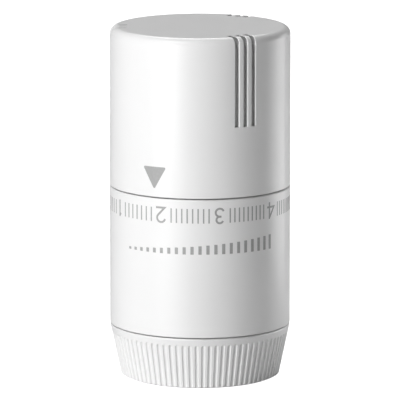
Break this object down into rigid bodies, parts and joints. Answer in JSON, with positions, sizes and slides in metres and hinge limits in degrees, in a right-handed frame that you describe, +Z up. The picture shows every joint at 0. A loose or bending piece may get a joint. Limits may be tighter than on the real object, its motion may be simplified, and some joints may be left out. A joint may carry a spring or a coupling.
{
  "type": "thermostatic radiator head",
  "caption": "White cylindrical thermostatic head with a turning grooved cap, a fixed scale sleeve and a knurled union nut that screws on a radiator valve.",
  "frame": {"origin": "middle of the union nut's underside, which the head stands on", "axes": "+Z up along the head's axis from the valve to the cap; -Y is the front, where the picture's camera stands, 30 degrees to the right of the pointer"},
  "size_m": [0.045, 0.045, 0.088],
  "materials": {
    "shell_white": "satin",
    "inner_plastic": "matte",
    "carrier_plastic": "matte",
    "insert_brass": "machined",
    "sensor_metal": "drawn",
    "spring_steel": "bright",
    "scale_ink": "matte print",
    "seal_rubber": "matte"
  },
  "bodies": {
    "housing": {"base_body": "inner_plastic", "scale_sleeve": "shell_white", "pin_guide_bush": "carrier_plastic", "friction_ring": "seal_rubber", "nut_snap_ring": "spring_steel"},
    "handle": {"handle_cap": "shell_white", "drive_sleeve": "inner_plastic"},
    "carrier": {"sensor_carrier": "carrier_plastic", "spring_plate": "spring_steel", "plate_circlip": "spring_steel", "overload_spring": "spring_steel"},
    "sensor": {"sensor_can": "sensor_metal", "sensor_base_ring": "sensor_metal", "filling_tube": "insert_brass", "spring_washer": "spring_steel", "bellows": "sensor_metal"},
    "pin": {"bellows_cup": "sensor_metal", "push_pin": "spring_steel", "thrust_button": "carrier_plastic", "return_spring": "spring_steel"},
    "union_nut": {"nut_collar": "shell_white", "nut_thread_insert": "insert_brass"}
  },
  "joints": [
    {"name": "handle_turn", "type": "hinge", "parent": "housing", "child": "handle", "pos_m": [0, 0, 0.048], "axis": [0, 0, 1], "range_deg": [-101.5, 120]},
    {"name": "carrier_lift", "type": "slide", "parent": "handle", "child": "carrier", "axis": [0, 0, 1], "range_m": [-0.00204, 0.00241]},
    {"name": "sensor_overtravel", "type": "slide", "parent": "carrier", "child": "sensor", "axis": [0, 0, 1], "range_m": [0, 0.003], "stiffness_N_per_m": 4000, "springref_m": -0.006, "deforming": ["overload_spring"]},
    {"name": "thermal_stroke", "type": "slide", "parent": "sensor", "child": "pin", "axis": [0, 0, 1], "range_m": [-0.003, 0.002], "stiffness_N_per_m": 2000, "deforming": ["return_spring", "bellows"]},
    {"name": "nut_spin", "type": "hinge", "parent": "housing", "child": "union_nut", "pos_m": [0, 0, 0.006], "axis": [0, 0, 1], "continuous": true}
  ],
  "couplings": [
    {"joint": "carrier_lift", "follows": "handle_turn", "m_per_rad": 0.0011459}
  ]
}
